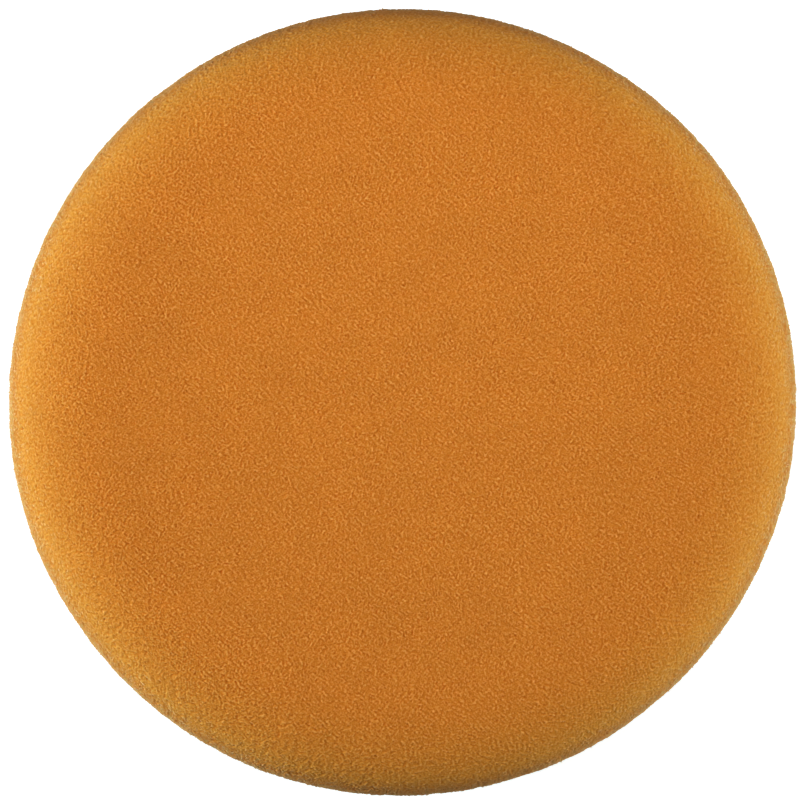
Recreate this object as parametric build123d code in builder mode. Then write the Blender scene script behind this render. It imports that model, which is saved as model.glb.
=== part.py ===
"""Foam polishing pad with a hook-and-loop back.

The pad lies on its loop side. The origin is the centre of the loop face, and +Z points
through the layers towards the working face. All the layers are cut to one diameter in a
single die stroke, from the bottom up: loop pile, ground cloth, bond film, foam disc.
Lengths are in millimetres.
"""
from build123d import *
import os

# Driving dimensions
pad_diameter = 150.0
pad_thickness = 25.0
pile_height = 1.2
ground_thickness = 0.5
bond_thickness = 0.3
face_edge_width = 20.0
face_edge_depth = 11.0
back_edge_radius = 0.8

# Worked out from them
pad_radius = pad_diameter / 2
ground_bottom = pile_height
bond_bottom = ground_bottom + ground_thickness
foam_bottom = bond_bottom + bond_thickness
foam_thickness = pad_thickness - foam_bottom

os.makedirs("parts", exist_ok=True)

# Loops of pile yarn that the hooks of the backing plate catch, as one closed layer
with BuildPart() as loop_pile:
    with BuildSketch():
        Circle(pad_radius)
    extrude(amount=pile_height)

# Knitted cloth that the pile yarn is anchored in
with BuildPart() as ground_cloth:
    with BuildSketch(Plane.XY.offset(ground_bottom)):
        Circle(pad_radius)
    extrude(amount=ground_thickness)

# Hot-melt film that bonds the cloth to the foam
with BuildPart() as bond_film:
    with BuildSketch(Plane.XY.offset(bond_bottom)):
        Circle(pad_radius)
    extrude(amount=bond_thickness)

# Open-cell foam: a flat working face that falls away in a quarter ellipse towards its edge,
# and a straight cut wall that only has its corner broken where it meets the cloth
with BuildPart() as foam_disc:
    with BuildSketch(Plane.XZ):
        with BuildLine():
            back_face = Line((0, foam_bottom), (pad_radius - back_edge_radius, foam_bottom))
            back_edge = CenterArc(
                (pad_radius - back_edge_radius, foam_bottom + back_edge_radius),
                back_edge_radius, -90, 90,
            )
            wall = Line(back_edge @ 1, (pad_radius, pad_thickness - face_edge_depth))
            face_edge = EllipticalCenterArc(
                (pad_radius - face_edge_width, pad_thickness - face_edge_depth),
                face_edge_width, face_edge_depth, start_angle=0, arc_size=90,
            )
            working_face = Line((pad_radius - face_edge_width, pad_thickness), (0, pad_thickness))
            Line((0, pad_thickness), (0, foam_bottom))
        make_face()
    revolve(axis=Axis.Z)

pieces = {
    "loop_pile": loop_pile,
    "ground_cloth": ground_cloth,
    "bond_film": bond_film,
    "foam_disc": foam_disc,
}
for node_name, piece in pieces.items():
    piece.part.label = node_name
    export_step(piece.part, f"parts/{node_name}.step")
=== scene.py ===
"""Looks of a foam polishing pad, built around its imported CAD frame, in metres.

The pad lies on its loop side with the working face up. Each layer of the frame is replaced by a
finished piece: an open-cell foam disc with real pores, the hot-melt film that bonds it, the
knitted ground cloth, and the pile of yarn loops that a backing plate's hooks catch.
"""
import math

import bpy
import numpy as np
from mathutils import Euler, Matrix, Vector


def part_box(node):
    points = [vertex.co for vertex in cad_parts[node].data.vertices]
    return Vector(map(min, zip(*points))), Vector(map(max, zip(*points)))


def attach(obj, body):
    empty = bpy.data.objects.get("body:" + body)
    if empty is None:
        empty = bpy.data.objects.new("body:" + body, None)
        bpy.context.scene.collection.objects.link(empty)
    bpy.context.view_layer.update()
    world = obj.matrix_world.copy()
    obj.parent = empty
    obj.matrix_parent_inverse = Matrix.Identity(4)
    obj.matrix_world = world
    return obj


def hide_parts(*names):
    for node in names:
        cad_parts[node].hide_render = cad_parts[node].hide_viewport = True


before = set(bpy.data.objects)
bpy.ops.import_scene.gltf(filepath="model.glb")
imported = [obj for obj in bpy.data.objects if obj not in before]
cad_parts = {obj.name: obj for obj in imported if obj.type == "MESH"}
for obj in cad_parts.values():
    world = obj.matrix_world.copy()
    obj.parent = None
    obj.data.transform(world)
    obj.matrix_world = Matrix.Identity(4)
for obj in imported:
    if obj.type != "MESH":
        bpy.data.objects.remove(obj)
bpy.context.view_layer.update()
MM = 0.001

# Sizes from the frame
foam_low, foam_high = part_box("foam_disc")
film_low, film_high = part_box("bond_film")
cloth_low, cloth_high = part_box("ground_cloth")
pile_low, pile_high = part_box("loop_pile")
pad_radius = foam_high.x

# Foam shape
face_edge_width = 20.0 * MM      # the face falls away in a quarter ellipse
face_edge_depth = 11.0 * MM
back_edge_radius = 0.8 * MM
wall_waist = 0.35 * MM          # how far the die-cut wall draws in halfway up
foam_step = 0.19 * MM
out_of_round = {2: 0.10 * MM, 3: 0.05 * MM, 5: 0.04 * MM, 7: 0.04 * MM}  # waves round the rim
face_wave_length = 14 * MM
face_wave_height = 0.06 * MM
wall_lump_height = 0.09 * MM    # the die leaves the wall uneven
wall_lump_size = 1.1 * MM
wall_lump_upright = 0.45        # the lumps are drawn out in height by one over this

# Foam cells
cell_pitch = 0.50 * MM          # edge of the lattice cube that holds two cells
cell_jitter = 0.21              # of the pitch
strut_width = 0.20              # of the pitch
wall_width = 0.12               # of the pitch
lattice_turn = (0.61, 0.37, 0.23)   # radians, so that no cut runs along a lattice plane
march_step = 0.09 * MM
march_steps = 7
strut_end_share = 0.006         # of the mesh points stand proud as cut strut ends
strut_end_height = 0.18 * MM
bulge_height = 0.4 * MM         # for each pitch of distance from a cell's centre
flush_depth = 0.6               # of the usual pore depth lies below the smooth surface

# Foam colours: the ramp from pores to struts paints shade into the pores and highlights onto the
# struts
# painted shade: the pores' colour is darker for the shade deep inside them
pore_shade_colour = (0.465, 0.094, 0.0)
body_colour = (0.615, 0.193, 0.0160)
# painted highlight: the struts' colour is lighter for the light they catch
strut_highlight_colour = (0.780, 0.322, 0.068)
edge_glow_tint = (0.97, 1.15, 1.35)  # painted glow: the rounded edge is painted paler and yellower than the face, for the light it catches
wall_shade_tint = (0.77, 0.77, 0.97)  # painted shade: the die-cut wall is near the face's hue again, and painted darker for the shade on the steep wall
edge_tilt = (8, 40)             # degrees from the face over which the edge's painted glow comes in
wall_tilt = (44, 62)            # and the wall's painted shade
edge_contrast = 0.75            # of the face's, between the painted pore shade and strut highlight
pore_stop, strut_stop = 0.10, 0.90
patch_levelling = 0.8           # share of the tone of patches wider than a cell that is taken out
fine_rounds, patch_rounds = 1, 6    # of smoothing, for the tone and for its patches

# Loop backing
edge_raggedness = 0.14 * MM
course_spacing = 1.30 * MM
wale_spacing = 1.15 * MM
yarn_radius = 0.10 * MM
loop_points = 8
loop_grip = 0.12 * MM           # how far a loop's feet reach into the ground cloth


# ---------------------------------------------------------------- meshes

def new_piece(name, points, triangles, uv, attributes=()):
    """A smooth-shaded mesh object with the bake's UV map and point attributes."""
    mesh = bpy.data.meshes.new(name)
    mesh.vertices.add(len(points))
    mesh.vertices.foreach_set("co", points.astype(np.float32).ravel())
    mesh.loops.add(triangles.size)
    mesh.loops.foreach_set("vertex_index", triangles.astype(np.int32).ravel())
    mesh.polygons.add(len(triangles))
    mesh.polygons.foreach_set("loop_start", np.arange(0, triangles.size, 3, dtype=np.int32))
    mesh.polygons.foreach_set("use_smooth", np.ones(len(triangles), bool))
    layer = mesh.uv_layers.new(name="OFBake")
    layer.uv.foreach_set("vector", uv.astype(np.float32).ravel())
    for label, values in attributes:
        attribute = mesh.attributes.new(label, "FLOAT", "POINT")
        attribute.data.foreach_set("value", values.astype(np.float32))
    mesh.update(calc_edges=True)
    mesh.validate()
    piece = bpy.data.objects.new(name, mesh)
    bpy.context.scene.collection.objects.link(piece)
    return piece


def disc_rings(radius, step):
    """Rings of 6, 12, 18... points over a disc, and the triangles between them.

    Each ring is turned by a random part of its spacing and its points are nudged, so that no row
    of triangles runs straight across the disc. The last ring is even.
    """
    rng = np.random.default_rng(3)
    count = round(radius / step)
    points = [np.zeros((1, 2))]
    triangles = []
    inner_turn, inner_total, inner_start, outer_start = 0.0, 1, 0, 1
    for ring in range(1, count + 1):
        total = 6 * ring
        last = ring == count
        turn = 0.0 if last else rng.uniform(-0.45, 0.45)
        nudge = rng.uniform(-0.22, 0.22, (2, total)) * (0 if last or ring < 3 else 1)
        angle = (np.arange(total) + turn + nudge[0]) * (math.tau / total)
        reach = (ring + nudge[1]) * radius / count
        points.append(np.stack([np.cos(angle) * reach, np.sin(angle) * reach], axis=1))
        edge = np.arange(total)
        middle = (edge + 0.5 + turn) / total
        near = np.round(middle * inner_total - inner_turn).astype(int) % inner_total
        triangles.append(np.stack([inner_start + near, outer_start + edge,
                                   outer_start + (edge + 1) % total], axis=1))
        if inner_total > 1:
            edge = np.arange(inner_total)
            middle = (edge + 0.5 + inner_turn) / inner_total
            far = np.round(middle * total - turn).astype(int) % total
            triangles.append(np.stack([inner_start + edge, outer_start + far,
                                       inner_start + (edge + 1) % inner_total], axis=1))
        inner_turn, inner_total = turn, total
        inner_start, outer_start = outer_start, outer_start + total
    return np.concatenate(points), np.concatenate(triangles), 6 * count


def row_triangles(first, count, rows, shifted):
    """Triangles between rows of count points, each row turned half a step from the last."""
    index = np.arange(count)
    following = (index + 1) % count
    triangles = []
    for row in range(rows - 1):
        a, b = first + row * count, first + (row + 1) * count
        if (row % 2 == 0) == shifted:
            triangles += [np.stack([a + index, b + index, a + following], axis=1),
                          np.stack([a + following, b + index, b + following], axis=1)]
        else:
            triangles += [np.stack([a + index, b + index, b + following], axis=1),
                          np.stack([a + index, b + following, a + following], axis=1)]
    return triangles


# ---------------------------------------------------------------- noise and foam cells

def value_noise(points, size, seed):
    """Smooth random values from -1 to 1 that change over about size."""
    rng = np.random.default_rng(seed)
    period = 64
    table = rng.uniform(-1, 1, (period, period, period)).astype(np.float32)
    place = points / size + 1000
    corner = np.floor(place).astype(int)
    part = (place - corner).astype(np.float32)
    part = part * part * (3 - 2 * part)
    total = np.zeros(len(points), np.float32)
    for dx in (0, 1):
        for dy in (0, 1):
            for dz in (0, 1):
                weight = np.ones(len(points), np.float32)
                for axis, offset in enumerate((dx, dy, dz)):
                    weight *= part[:, axis] if offset else 1 - part[:, axis]
                at = (corner + (dx, dy, dz)) % period
                total += weight * table[at[:, 0], at[:, 1], at[:, 2]]
    return total


class FoamCells:
    """Cell centres of the foam: a body-centred lattice, shaken up and bent, as in a Kelvin foam."""

    period = 96

    def __init__(self, seed):
        rng = np.random.default_rng(seed)
        self.jitter = rng.uniform(-cell_jitter, cell_jitter, (2, *[self.period] * 3, 3))
        self.jitter = self.jitter.astype(np.float32)
        self.turn = np.array(Euler(lattice_turn).to_matrix(), np.float32)

    @staticmethod
    def bend(points):
        """How far the lattice is pushed aside at each point, so that no row runs straight."""
        return np.stack([value_noise(points, 4 * MM, 50 + axis) * (0.3 * MM)
                         + value_noise(points, 12 * MM, 60 + axis) * (1.0 * MM)
                         for axis in range(3)], axis=1)

    def nearest_three(self, points):
        """The distances to the three nearest cell centres, in units of the pitch."""
        place = (points / cell_pitch).astype(np.float32) @ self.turn
        first = np.full(len(points), 9.0, np.float32)
        second, third = first.copy(), first.copy()
        for shift, jitter in zip((0.0, 0.5), self.jitter):
            corner = np.floor(place - shift).astype(int)
            part = (place - shift - corner).astype(np.float32)
            for offset in np.ndindex(2, 2, 2):
                at = (corner + offset) % self.period
                away = part - np.array(offset, np.float32) - jitter[at[:, 0], at[:, 1], at[:, 2]]
                far = (away ** 2).sum(1)
                near, far = np.minimum(first, far), np.maximum(first, far)
                first = near
                near, far = np.minimum(second, far), np.maximum(second, far)
                second = near
                third = np.minimum(third, far)
        return np.sqrt(first), np.sqrt(second), np.sqrt(third)


def pore_depth(cells, points, normals):
    """How deep one looks into the foam before its struts and cell walls close the view."""
    clear = np.ones(len(points), np.float32)
    depth = np.zeros(len(points), np.float32)
    for step in range(march_steps):
        place = points - normals * (march_step * (step + 0.5))
        first, second, third = cells.nearest_three(place)
        strut = np.exp(-((third - first) / strut_width) ** 2)
        wall = np.exp(-((second - first) / wall_width) ** 2)
        clear *= np.exp(-(1.6 * strut + 0.5 * wall))
        depth += clear * march_step
    return depth


def smoothed(values, triangles, rounds):
    """The values on a closed mesh, averaged with their neighbours' round after round."""
    ends = np.concatenate([triangles[:, [0, 1]], triangles[:, [1, 2]], triangles[:, [2, 0]]])
    neighbours = np.bincount(ends[:, 0], minlength=len(values))
    for _ in range(rounds):
        total = np.bincount(ends[:, 0], weights=values[ends[:, 1]], minlength=len(values))
        values = (values + total / neighbours) / 2
    return values


# ---------------------------------------------------------------- foam disc

def foam_profile():
    """Rows of radius, height and tilt down the edge and wall, their run, and the edge's count."""
    top = foam_high.z
    flat_radius = pad_radius - face_edge_width
    turn = math.pi / 2
    fine = np.linspace(0, turn, 2000)
    fine_radius = flat_radius + face_edge_width * np.sin(fine)
    fine_height = top - face_edge_depth * (1 - np.cos(fine))
    run = np.append(0, np.cumsum(np.hypot(np.diff(fine_radius), np.diff(fine_height))))
    edge_rows = round(run[-1] / foam_step)
    angle = np.interp(np.linspace(0, run[-1], edge_rows + 1)[1:], run, fine)
    rows = list(zip(flat_radius + face_edge_width * np.sin(angle),
                    top - face_edge_depth * (1 - np.cos(angle)),
                    np.arctan2(face_edge_depth * np.sin(angle), face_edge_width * np.cos(angle))))
    wall_top = top - face_edge_depth
    wall_bottom = foam_low.z + back_edge_radius
    count = round((wall_top - wall_bottom) / foam_step)
    for i in range(1, count + 1):
        height = wall_top + (wall_bottom - wall_top) * i / count
        waist = wall_waist * math.sin(math.pi * i / count) ** 2
        rows.append((pad_radius - waist, height, turn))
    count = max(2, round(back_edge_radius * turn / foam_step))
    for i in range(1, count + 1):
        angle = turn * i / count
        rows.append((pad_radius - back_edge_radius * (1 - math.cos(angle)),
                     wall_bottom - back_edge_radius * math.sin(angle), turn + angle))
    rows = np.array(rows)
    previous = np.vstack([[flat_radius, top, 0], rows[:-1]])
    length = np.cumsum(np.hypot(*(rows - previous)[:, :2].T))
    return rows, length, edge_rows


def foam_uv(points, triangles, ring_count, face_count, length, edge_rows):
    """The face and its rounded edge as one disc, the wall as four strips, into which the back's fan
    falls too.
    """
    flat_radius = pad_radius - face_edge_width
    edge_length = length[edge_rows - 1]
    disc_radius = flat_radius + edge_length
    strip_height = length[-1] - edge_length
    strip_length = math.tau * pad_radius / 4
    side = 2 * disc_radius + 2 * strip_height + 6 * MM
    angle = np.arctan2(points[:, 1], points[:, 0])
    along = np.hypot(points[:, 0], points[:, 1])
    row = np.maximum(np.arange(len(points)) - face_count, 0) // ring_count
    row = np.minimum(row, len(length) - 1)
    past = np.arange(len(points)) >= face_count
    along = np.where(past, flat_radius + length[row], along)
    disc = np.stack([np.cos(angle), np.sin(angle)], axis=1) * along[:, None] + disc_radius + MM
    corner_row = np.where(past, row, -1)[triangles]
    on_disc = corner_row.max(1) < edge_rows
    uv = disc[triangles]
    turn = np.mod(angle, math.tau)[triangles]
    turn = np.where((turn.max(1) - turn.min(1) > math.pi)[:, None] & (turn < math.pi),
                    turn + math.tau, turn)
    strip = np.minimum((turn.mean(1) / (math.tau / 4)).astype(int), 3)
    run = (turn - strip[:, None] * math.tau / 4) * pad_radius
    down = along[triangles] - disc_radius
    lane = 2 * disc_radius + 3 * MM + (strip % 2)[:, None] * (strip_height + MM) + down
    across = np.where((strip < 2)[:, None, None], np.stack([run + 2 * MM, lane], axis=2),
                      np.stack([lane, run + 2 * MM], axis=2))
    uv = np.where(on_disc[:, None, None], uv, across)
    return uv / side


def foam_shell():
    """The smooth disc: its points, their outward normals, the triangles and the UV map."""
    flat_radius = pad_radius - face_edge_width
    flat, triangles, ring_count = disc_rings(flat_radius, foam_step)
    face_count = len(flat)
    rows, length, edge_rows = foam_profile()
    points = [np.column_stack([flat, np.full(face_count, foam_high.z)])]
    normals = [np.tile([0.0, 0.0, 1.0], (face_count, 1))]
    nudge = np.random.default_rng(4).uniform(-0.22, 0.22, (len(rows), ring_count))
    for number, (radius, height, tilt) in enumerate(rows):
        angle = (np.arange(ring_count) + 0.5 * ((number + 1) % 2) + nudge[number])
        angle = angle * math.tau / ring_count
        outward = np.stack([np.cos(angle), np.sin(angle)], axis=1)
        points.append(np.column_stack([outward * radius, np.full(ring_count, height)]))
        normals.append(np.column_stack([outward * math.sin(tilt),
                                        np.full(ring_count, math.cos(tilt))]))
    back = len(np.concatenate(points))
    points = np.concatenate(points + [[[0, 0, foam_low.z]]])
    normals = np.concatenate(normals + [[[0, 0, -1.0]]])
    last = back - ring_count
    index = np.arange(ring_count)
    fan = np.stack([last + index, np.full(ring_count, back), last + (index + 1) % ring_count], axis=1)
    triangles = np.concatenate([triangles]
                               + row_triangles(face_count - ring_count, ring_count,
                                               len(rows) + 1, True) + [fan])
    uv = foam_uv(points, triangles, ring_count, face_count, length, edge_rows)
    return points, normals, triangles, uv


def ramp_up(values, start, end):
    """0 up to start, 1 from end on, and even in between."""
    return np.clip((values - start) / (end - start), 0, 1)


def make_foam():
    """The disc with its pores and strut ends in relief, and what its material needs to know."""
    points, normals, triangles, uv = foam_shell()
    cells = FoamCells(seed=11)
    bend = cells.bend(points)
    depth = pore_depth(cells, points + bend, normals)
    centre_distance = cells.nearest_three(points + bend)[0]
    bulge = centre_distance - centre_distance.mean()
    angle = np.arctan2(points[:, 1], points[:, 0])
    rng = np.random.default_rng(5)
    swell = sum(size * np.cos(turns * angle + rng.uniform(0, math.tau))
                for turns, size in out_of_round.items())
    rim = np.clip(np.hypot(points[:, 0], points[:, 1]) / pad_radius, 0, 1) ** 8
    wave = value_noise(points, face_wave_length, 21) * face_wave_height
    usual = float(np.median(depth))
    held = ramp_up(points[:, 2], foam_low.z, foam_low.z + back_edge_radius)
    ends = rng.uniform(0, 1, len(points)) < strut_end_share
    tilt = np.degrees(np.arccos(np.clip(normals[:, 2], -1, 1)))
    # edge masks the rounded edge's painted glow and wall the wall's painted shade; wall also places
    # the lumps
    edge, wall = ramp_up(tilt, *edge_tilt), ramp_up(tilt, *wall_tilt)
    ends = ends * rng.uniform(0.2, 1.0, len(points)) * strut_end_height * (0.8 + 0.8 * edge)
    lumps = value_noise(points * (1, 1, wall_lump_upright), wall_lump_size, 22)
    lift = (usual * flush_depth - depth + bulge * bulge_height + ends + wave
            + lumps * wall_lump_height * wall) * held
    outward = np.column_stack([np.cos(angle), np.sin(angle), np.zeros(len(angle))])
    points = points + normals * lift[:, None] + outward * (swell * rim)[:, None]
    # painted shade and highlight: the tone is darker where pores are deeper and lighter on cell rims
    # and strut ends
    tone = bulge - (depth - depth.mean()) / (1 * MM) + ends / (1 * MM)
    patches = smoothed(tone, triangles, patch_rounds)
    tone = smoothed(tone, triangles, fine_rounds) - patch_levelling * patches
    tone = np.clip(0.5 + tone / tone.std() / 6, 0, 1)
    return new_piece("foam_disc_cut", points, triangles, uv,
                     [("tone", tone), ("edge", edge), ("wall", wall)])


# ---------------------------------------------------------------- film, cloth and loops

def thin_disc(name, radius, low, high, step, edge, face):
    """A closed disc with a ragged edge: edge(angle) moves the rim, face(xy) the underside."""
    flat, triangles, ring_count = disc_rings(radius, step)
    count = len(flat)
    angle = np.arctan2(flat[:, 1], flat[:, 0])
    reach = np.hypot(flat[:, 0], flat[:, 1]) / radius
    flat = flat * (1 + edge(angle) / radius * reach ** 12)[:, None]
    top = np.column_stack([flat, np.full(count, high)])
    under = np.column_stack([flat, low + face(flat)])
    middle = (top[-ring_count:] + under[-ring_count:]) / 2
    middle[:, :2] *= 1 + 0.08 * MM / radius
    points = np.concatenate([top, middle, under])
    index = np.arange(ring_count)
    rings = [count - ring_count + index, count + index, 2 * count + index]
    sides = []
    for upper, lower in zip(rings, rings[1:]):
        lower_next, upper_next = np.roll(lower, -1), np.roll(upper, -1)
        sides += [np.stack([upper, lower, lower_next], axis=1),
                  np.stack([upper, lower_next, upper_next], axis=1)]
    sides = np.concatenate(sides)
    under_triangles = triangles[:, ::-1] + count + ring_count
    uv_under = 0.41 + 0.39 * points[under_triangles][:, :, :2] / radius
    uv_top = 0.91 + 0.07 * points[triangles][:, :, :2] / radius
    turn = np.mod(np.arctan2(points[:, 1], points[:, 0]), math.tau)[sides]
    turn = np.where((turn.max(1) - turn.min(1) > math.pi)[:, None] & (turn < math.pi),
                    turn + math.tau, turn)
    row = (high - points[sides][:, :, 2]) / (high - low)
    uv_side = np.stack([0.01 + 0.78 * turn / math.tau, 0.86 + 0.10 * row], axis=2)
    return new_piece(name, points, np.concatenate([triangles, sides, under_triangles]),
                     np.concatenate([uv_top, uv_side, uv_under]))


def ragged(size, waves, seed):
    """A random edge, as a function of the angle, that moves by up to about size."""
    def edge(angle):
        place = np.column_stack([np.cos(angle), np.sin(angle), np.zeros(len(angle))])
        return value_noise(place * pad_radius, math.tau * pad_radius / waves, seed) * size
    return edge


def make_film():
    return thin_disc("hot_melt_film", film_high.x - 0.10 * MM, film_low.z, film_high.z, 1.5 * MM,
                     ragged(0.09 * MM, 180, 31),
                     lambda flat: np.zeros(len(flat)))


def make_cloth():
    def knit(flat):
        wales = np.cos(flat[:, 0] * (math.tau / wale_spacing))
        courses = np.cos(flat[:, 1] * (math.tau / course_spacing))
        return (1 - wales * courses) * 0.04 * MM
    return thin_disc("knitted_ground", cloth_high.x - 0.12 * MM, cloth_low.z, cloth_high.z,
                     0.6 * MM, ragged(edge_raggedness, 420, 33), knit)


def make_pile():
    """Yarn loops that hang from the ground cloth in courses, leaning as they were brushed."""
    rng = np.random.default_rng(41)
    rows = np.arange(-pad_radius, pad_radius, course_spacing)
    columns = np.arange(-pad_radius, pad_radius, wale_spacing)
    grid = np.stack(np.meshgrid(columns, rows), axis=-1)
    grid[1::2, :, 0] += wale_spacing / 2
    root = grid.reshape(-1, 2)
    root = root + rng.normal(0, 0.10 * MM, root.shape)
    root = root[np.hypot(root[:, 0], root[:, 1]) < pile_high.x - 0.45 * MM]
    count = len(root)
    top = cloth_low.z + loop_grip
    tallest = top - pile_low.z - yarn_radius * 0.9
    height = tallest * rng.uniform(0.72, 1.0, count)
    half_width = rng.uniform(0.24, 0.46, count) * MM
    heading = rng.normal(0.3, 0.7, count)
    across = np.column_stack([np.cos(heading), np.sin(heading), np.zeros(count)])
    place = np.column_stack([root, np.zeros(count)])
    brushed = 1.1 + value_noise(place, 22 * MM, 43) * 1.2 + rng.normal(0, 0.5, count)
    leaning = np.abs(rng.normal(0.22, 0.12, count)) * MM
    lean = np.column_stack([np.cos(brushed), np.sin(brushed), np.zeros(count)]) * leaning[:, None]

    t = np.linspace(0, math.pi, loop_points)[None, :, None]
    down = np.sin(t) ** 0.75
    spread = -np.cos(t) * (1 + 0.55 * np.sin(t))
    path = (place[:, None] + across[:, None] * half_width[:, None, None] * spread
            + lean[:, None] * down ** 1.6)
    path[:, :, 2] = top - down[:, :, 0] * height[:, None]
    tangent = np.gradient(path, axis=1)
    tangent /= np.linalg.norm(tangent, axis=2, keepdims=True)
    side = np.column_stack([-np.sin(heading), np.cos(heading), np.zeros(count)])
    side = np.broadcast_to(side[:, None], path.shape)
    normal = np.cross(tangent, side)
    thickness = (yarn_radius * rng.uniform(0.75, 1.2, count))[:, None, None, None]
    turn = (np.arange(3) * (math.tau / 3))[None, None, :, None]
    ring = (path[:, :, None] + thickness * (np.cos(turn) * normal[:, :, None]
                                            + np.sin(turn) * side[:, :, None]))
    ring[..., 2] = np.maximum(ring[..., 2], pile_low.z)
    points = ring.reshape(-1, 3)

    start = (np.arange(count) * (3 * loop_points))[:, None, None]
    along = (np.arange(loop_points - 1) * 3)[None, :, None]
    around = np.arange(3)[None, None, :]
    a = start + along + around
    b = start + along + (around + 1) % 3
    triangles = np.stack([np.stack([a, b, a + 3], axis=-1), np.stack([b, b + 3, a + 3], axis=-1)],
                         axis=-2).reshape(-1, 3)
    ends = (start[:, 0, 0, None, None] + np.array([[0, 2, 1], [0, 1, 2]])
            + np.array([[0], [3 * (loop_points - 1)]])).reshape(-1, 3)

    cells = math.ceil(math.sqrt(count))
    number = np.arange(len(points)) // (3 * loop_points)
    within = np.arange(len(points)) % (3 * loop_points)
    u = (number % cells + 0.1 + 0.8 * (within // 3) / (loop_points - 1)) / cells
    v = (number // cells + 0.15 + 0.5 * (within % 3) / 2) / cells
    all_triangles = np.concatenate([triangles, ends])
    uv = np.column_stack([u, v])[all_triangles]
    shade = rng.uniform(0, 1, count)[number]
    # painted shade: each loop is darker towards its two roots in the ground cloth, where the pile
    # shades it
    root_shade = np.repeat(np.sin(np.linspace(0, math.pi, loop_points))[None], count, axis=0)
    root_shade = np.repeat(root_shade.reshape(-1), 3)
    return new_piece("yarn_loops", points, all_triangles, uv,
                     [("shade", shade), ("reach", root_shade)])


# ---------------------------------------------------------------- materials

def node_tree(name):
    material = bpy.data.materials.new(name)
    material.use_nodes = True
    nodes = material.node_tree.nodes
    return material, nodes, material.node_tree.links, nodes["Principled BSDF"]


def add_node(nodes, kind, **inputs):
    node = nodes.new(kind)
    for label, value in inputs.items():
        node.inputs[label.replace("_", " ")].default_value = value
    return node


def foam_material():
    material, nodes, links, shader = node_tree("orange_foam")
    place = nodes.new("ShaderNodeTexCoord")
    tone = nodes.new("ShaderNodeAttribute")
    tone.attribute_name = "tone"
    foam_colour = None
    # The tone's ramp runs from painted pore shade to painted strut highlight
    for region, tint, contrast in (("face", (1, 1, 1), 1), ("edge", edge_glow_tint, edge_contrast),
                                   ("wall", wall_shade_tint, edge_contrast)):
        ramp = nodes.new("ShaderNodeValToRGB")
        middle = ramp.color_ramp.elements.new(0.50)
        first, last = ramp.color_ramp.elements[0], ramp.color_ramp.elements[2]
        first.position, last.position = pore_stop, strut_stop
        for stop, colour in ((first, pore_shade_colour), (middle, body_colour), (last, strut_highlight_colour)):
            stop.color = (*[(body + (value - body) * contrast) * share
                            for value, body, share in zip(colour, body_colour, tint)], 1)
        links.new(tone.outputs["Fac"], ramp.inputs["Fac"])
        if region == "face":
            foam_colour = ramp.outputs["Color"]
            continue
        # The edge attribute blends in the painted glow of the rounded edge, the wall attribute the
        # painted shade of the wall
        part = nodes.new("ShaderNodeAttribute")
        part.attribute_name = region
        blend = nodes.new("ShaderNodeMix")
        blend.data_type = "RGBA"
        links.new(part.outputs["Fac"], blend.inputs["Factor"])
        links.new(foam_colour, blend.inputs[6])     # sockets 6, 7 and 2 are the ones for colours
        links.new(ramp.outputs["Color"], blend.inputs[7])
        foam_colour = blend.outputs[2]
    mottle = add_node(nodes, "ShaderNodeTexNoise", Scale=110.0, Detail=3.0, Roughness=0.55)
    links.new(place.outputs["Object"], mottle.inputs["Vector"])
    shade = add_node(nodes, "ShaderNodeMapRange")
    shade.inputs["To Min"].default_value = 0.93
    shade.inputs["To Max"].default_value = 1.07
    links.new(mottle.outputs["Fac"], shade.inputs["Value"])
    colour = nodes.new("ShaderNodeVectorMath")
    colour.operation = "SCALE"
    links.new(foam_colour, colour.inputs[0])
    links.new(shade.outputs["Result"], colour.inputs["Scale"])
    links.new(colour.outputs["Vector"], shader.inputs["Base Color"])
    grain = add_node(nodes, "ShaderNodeTexNoise", Scale=5200.0, Detail=2.0)
    links.new(place.outputs["Object"], grain.inputs["Vector"])
    rough = nodes.new("ShaderNodeMapRange")
    rough.inputs["To Min"].default_value = 0.70
    rough.inputs["To Max"].default_value = 0.95
    links.new(grain.outputs["Fac"], rough.inputs["Value"])
    links.new(rough.outputs["Result"], shader.inputs["Roughness"])
    bump = add_node(nodes, "ShaderNodeBump", Strength=0.25, Distance=0.05 * MM)
    links.new(grain.outputs["Fac"], bump.inputs["Height"])
    links.new(bump.outputs["Normal"], shader.inputs["Normal"])
    shader.inputs["Subsurface Weight"].default_value = 0.35
    shader.inputs["Subsurface Radius"].default_value = (1.0, 1.0, 0.8)
    shader.inputs["Subsurface Scale"].default_value = 4.5 * MM
    shader.inputs["Specular IOR Level"].default_value = 0.12
    shader.inputs["Sheen Weight"].default_value = 0.08
    shader.inputs["Sheen Tint"].default_value = (1.0, 0.85, 0.40, 1)
    shader.inputs["Sheen Roughness"].default_value = 0.5
    return material


def film_material():
    material, nodes, links, shader = node_tree("hot_melt_adhesive")
    place = nodes.new("ShaderNodeTexCoord")
    web = add_node(nodes, "ShaderNodeTexNoise", Scale=900.0, Detail=4.0, Roughness=0.6)
    links.new(place.outputs["Object"], web.inputs["Vector"])
    ramp = nodes.new("ShaderNodeValToRGB")
    ramp.color_ramp.elements[0].position = 0.30
    ramp.color_ramp.elements[0].color = (0.62, 0.54, 0.38, 1)
    ramp.color_ramp.elements[1].position = 0.70
    ramp.color_ramp.elements[1].color = (0.82, 0.76, 0.60, 1)
    links.new(web.outputs["Fac"], ramp.inputs["Fac"])
    links.new(ramp.outputs["Color"], shader.inputs["Base Color"])
    rough = nodes.new("ShaderNodeMapRange")
    rough.inputs["To Min"].default_value = 0.30
    rough.inputs["To Max"].default_value = 0.55
    links.new(web.outputs["Fac"], rough.inputs["Value"])
    links.new(rough.outputs["Result"], shader.inputs["Roughness"])
    bump = add_node(nodes, "ShaderNodeBump", Strength=0.4, Distance=0.08 * MM)
    links.new(web.outputs["Fac"], bump.inputs["Height"])
    links.new(bump.outputs["Normal"], shader.inputs["Normal"])
    return material


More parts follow.
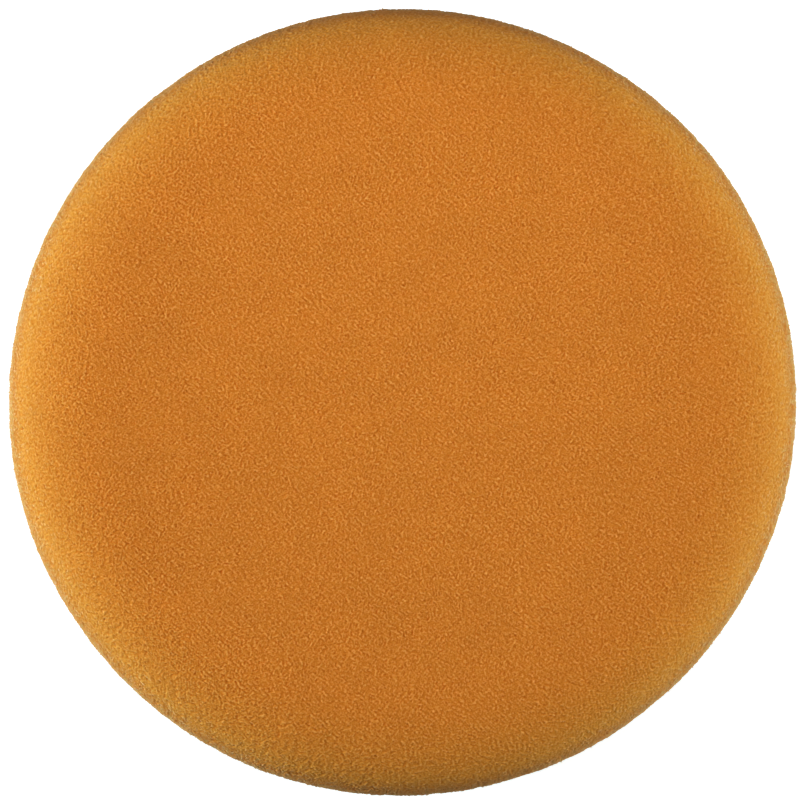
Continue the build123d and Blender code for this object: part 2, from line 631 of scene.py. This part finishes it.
def cloth_material():
    material, nodes, links, shader = node_tree("white_knit")
    place = nodes.new("ShaderNodeTexCoord")
    heights = []
    for direction, spacing in (("X", wale_spacing), ("Y", course_spacing)):
        wave = add_node(nodes, "ShaderNodeTexWave", Scale=math.pi / 10 / spacing,
                        Distortion=1.2, Detail=2.0)
        wave.bands_direction = direction
        links.new(place.outputs["Object"], wave.inputs["Vector"])
        heights.append(wave)
    knit = nodes.new("ShaderNodeMath")
    knit.operation = "MULTIPLY"
    links.new(heights[0].outputs["Fac"], knit.inputs[0])
    links.new(heights[1].outputs["Fac"], knit.inputs[1])
    ramp = nodes.new("ShaderNodeValToRGB")
    ramp.color_ramp.elements[0].color = (0.66, 0.64, 0.59, 1)
    ramp.color_ramp.elements[1].position = 0.45
    ramp.color_ramp.elements[1].color = (0.85, 0.84, 0.80, 1)
    links.new(knit.outputs["Value"], ramp.inputs["Fac"])
    links.new(ramp.outputs["Color"], shader.inputs["Base Color"])
    bump = add_node(nodes, "ShaderNodeBump", Strength=0.6, Distance=0.10 * MM)
    links.new(knit.outputs["Value"], bump.inputs["Height"])
    links.new(bump.outputs["Normal"], shader.inputs["Normal"])
    shader.inputs["Roughness"].default_value = 0.85
    shader.inputs["Sheen Weight"].default_value = 0.2
    return material


def yarn_material():
    material, nodes, links, shader = node_tree("white_yarn")
    shade = nodes.new("ShaderNodeAttribute")
    shade.attribute_name = "shade"
    tint = nodes.new("ShaderNodeValToRGB")
    tint.color_ramp.elements[0].color = (0.80, 0.78, 0.73, 1)
    tint.color_ramp.elements[1].color = (0.90, 0.89, 0.86, 1)
    links.new(shade.outputs["Fac"], tint.inputs["Fac"])
    # painted shade: the reach attribute darkens each loop to 0.80 at its roots in the cloth
    reach = nodes.new("ShaderNodeAttribute")
    reach.attribute_name = "reach"
    depth = nodes.new("ShaderNodeMapRange")
    depth.inputs["To Min"].default_value = 0.80
    depth.inputs["To Max"].default_value = 1.0
    links.new(reach.outputs["Fac"], depth.inputs["Value"])
    colour = nodes.new("ShaderNodeVectorMath")
    colour.operation = "SCALE"
    links.new(tint.outputs["Color"], colour.inputs[0])
    links.new(depth.outputs["Result"], colour.inputs["Scale"])
    links.new(colour.outputs["Vector"], shader.inputs["Base Color"])
    shader.inputs["Roughness"].default_value = 0.7
    shader.inputs["Sheen Weight"].default_value = 0.3
    shader.inputs["Subsurface Weight"].default_value = 0.3
    shader.inputs["Subsurface Radius"].default_value = (1.0, 1.0, 0.9)
    shader.inputs["Subsurface Scale"].default_value = 0.2 * MM
    return material


# ---------------------------------------------------------------- stage, lights, camera

def softbox(name, direction, distance, width, height, power, colour=(1, 1, 1)):
    light = bpy.data.lights.new(name, "AREA")
    light.color = colour
    light.shape = "RECTANGLE"
    light.size, light.size_y, light.energy = width, height, power
    lamp = bpy.data.objects.new(name, light)
    bpy.context.scene.collection.objects.link(lamp)
    towards = foam_high.copy()
    towards.x, towards.y = 0, 0
    away = type(towards)(direction).normalized()
    lamp.location = towards + away * distance
    lamp.rotation_mode = "QUATERNION"
    lamp.rotation_quaternion = away.to_track_quat("Z", "Y")
    lamp.visible_camera = False
    return lamp


def floor_bounce():
    """A dim ring that lights the pad's wall and outer loops from below, as a pale floor does."""
    turns = [math.tau * i / 64 for i in range(64)]
    mesh = bpy.data.meshes.new("floor_bounce")
    mesh.from_pydata([(reach * math.cos(turn), reach * math.sin(turn), -0.5 * MM)
                      for reach in (pad_radius - 3 * MM, 0.6) for turn in turns], [],
                     [(i, 64 + i, 64 + (i + 1) % 64, (i + 1) % 64) for i in range(64)])
    ring = bpy.data.objects.new("floor_bounce", mesh)
    bpy.context.scene.collection.objects.link(ring)
    material, nodes, links, shader = node_tree("floor_bounce")
    shader.inputs["Base Color"].default_value = (0, 0, 0, 1)
    shader.inputs["Emission Color"].default_value = (1, 1, 1, 1)
    shader.inputs["Emission Strength"].default_value = 0.3
    mesh.materials.append(material)
    ring.visible_camera = ring.visible_glossy = ring.visible_shadow = False


def make_stage():
    mesh = bpy.data.meshes.new("floor")
    reach = 8.0
    mesh.from_pydata([(-reach, -reach, 0), (reach, -reach, 0), (reach, reach, 0), (-reach, reach, 0)],
                     [], [(0, 1, 2, 3)])
    floor = bpy.data.objects.new("floor", mesh)
    bpy.context.scene.collection.objects.link(floor)
    material, nodes, links, shader = node_tree("pale_floor")
    shader.inputs["Base Color"].default_value = (0.86, 0.86, 0.86, 1)
    shader.inputs["Roughness"].default_value = 0.9
    shader.inputs["Emission Color"].default_value = (1, 1, 1, 1)
    place = nodes.new("ShaderNodeTexCoord")
    away = nodes.new("ShaderNodeVectorMath")
    away.operation = "LENGTH"
    links.new(place.outputs["Object"], away.inputs[0])
    glow = nodes.new("ShaderNodeMapRange")      # makes up for the lights falling off
    glow.inputs["From Min"].default_value = 0.12
    glow.inputs["From Max"].default_value = 0.80
    glow.inputs["To Min"].default_value = 0.65
    glow.inputs["To Max"].default_value = 1.02
    links.new(away.outputs["Value"], glow.inputs["Value"])
    links.new(glow.outputs["Result"], shader.inputs["Emission Strength"])
    floor.data.materials.append(material)
    floor.visible_diffuse = False
    floor_bounce()
    world = bpy.data.worlds.new("studio")
    bpy.context.scene.world = world
    world.use_nodes = True
    world.node_tree.nodes["Background"].inputs["Color"].default_value = (1, 1, 1, 1)
    world.cycles_visibility.diffuse = False
    bpy.context.scene.view_settings.view_transform = "Standard"


def make_lights():
    cast = (0.96, 1.14, 1.06)       # the side lamps are a little greenish beside the others
    softbox("left_softbox", (-1.0, -0.05, 0.035), 0.9, 0.5, 0.7, 17.0, cast)
    softbox("right_softbox", (1.0, -0.05, 0.035), 0.9, 0.5, 0.7, 12.2, cast)
    softbox("near_fill", (0.0, 0.075, 0.25), 0.261, 0.14, 0.14, 0.33)
    softbox("overhead_fill", (0.0, 0.0, 1.0), 0.9, 0.5, 0.7, 2.4)


def make_camera():
    data = bpy.data.cameras.new("camera")
    camera = bpy.data.objects.new("camera", data)
    bpy.context.scene.collection.objects.link(camera)
    bpy.context.scene.camera = camera
    distance = 1.2
    share_of_view = 0.983           # that the pad's width takes
    rim_height = foam_high.z - face_edge_depth
    data.lens = data.sensor_width * distance * share_of_view / (2 * pad_radius)
    camera.location = (-0.48 * MM, 0.4 * MM, rim_height + distance)


# ---------------------------------------------------------------- assembly

make_camera()
foam, film, cloth, pile = make_foam(), make_film(), make_cloth(), make_pile()
for piece, material, node, slot in ((foam, foam_material(), "foam_disc", "foam"),
                                    (film, film_material(), "bond_film", "hot_melt"),
                                    (cloth, cloth_material(), "ground_cloth", "loop_cloth"),
                                    (pile, yarn_material(), "loop_pile", "loop_cloth")):
    piece.data.materials.append(material)
    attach(piece, "root")
    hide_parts(node)
make_stage()
make_lights()
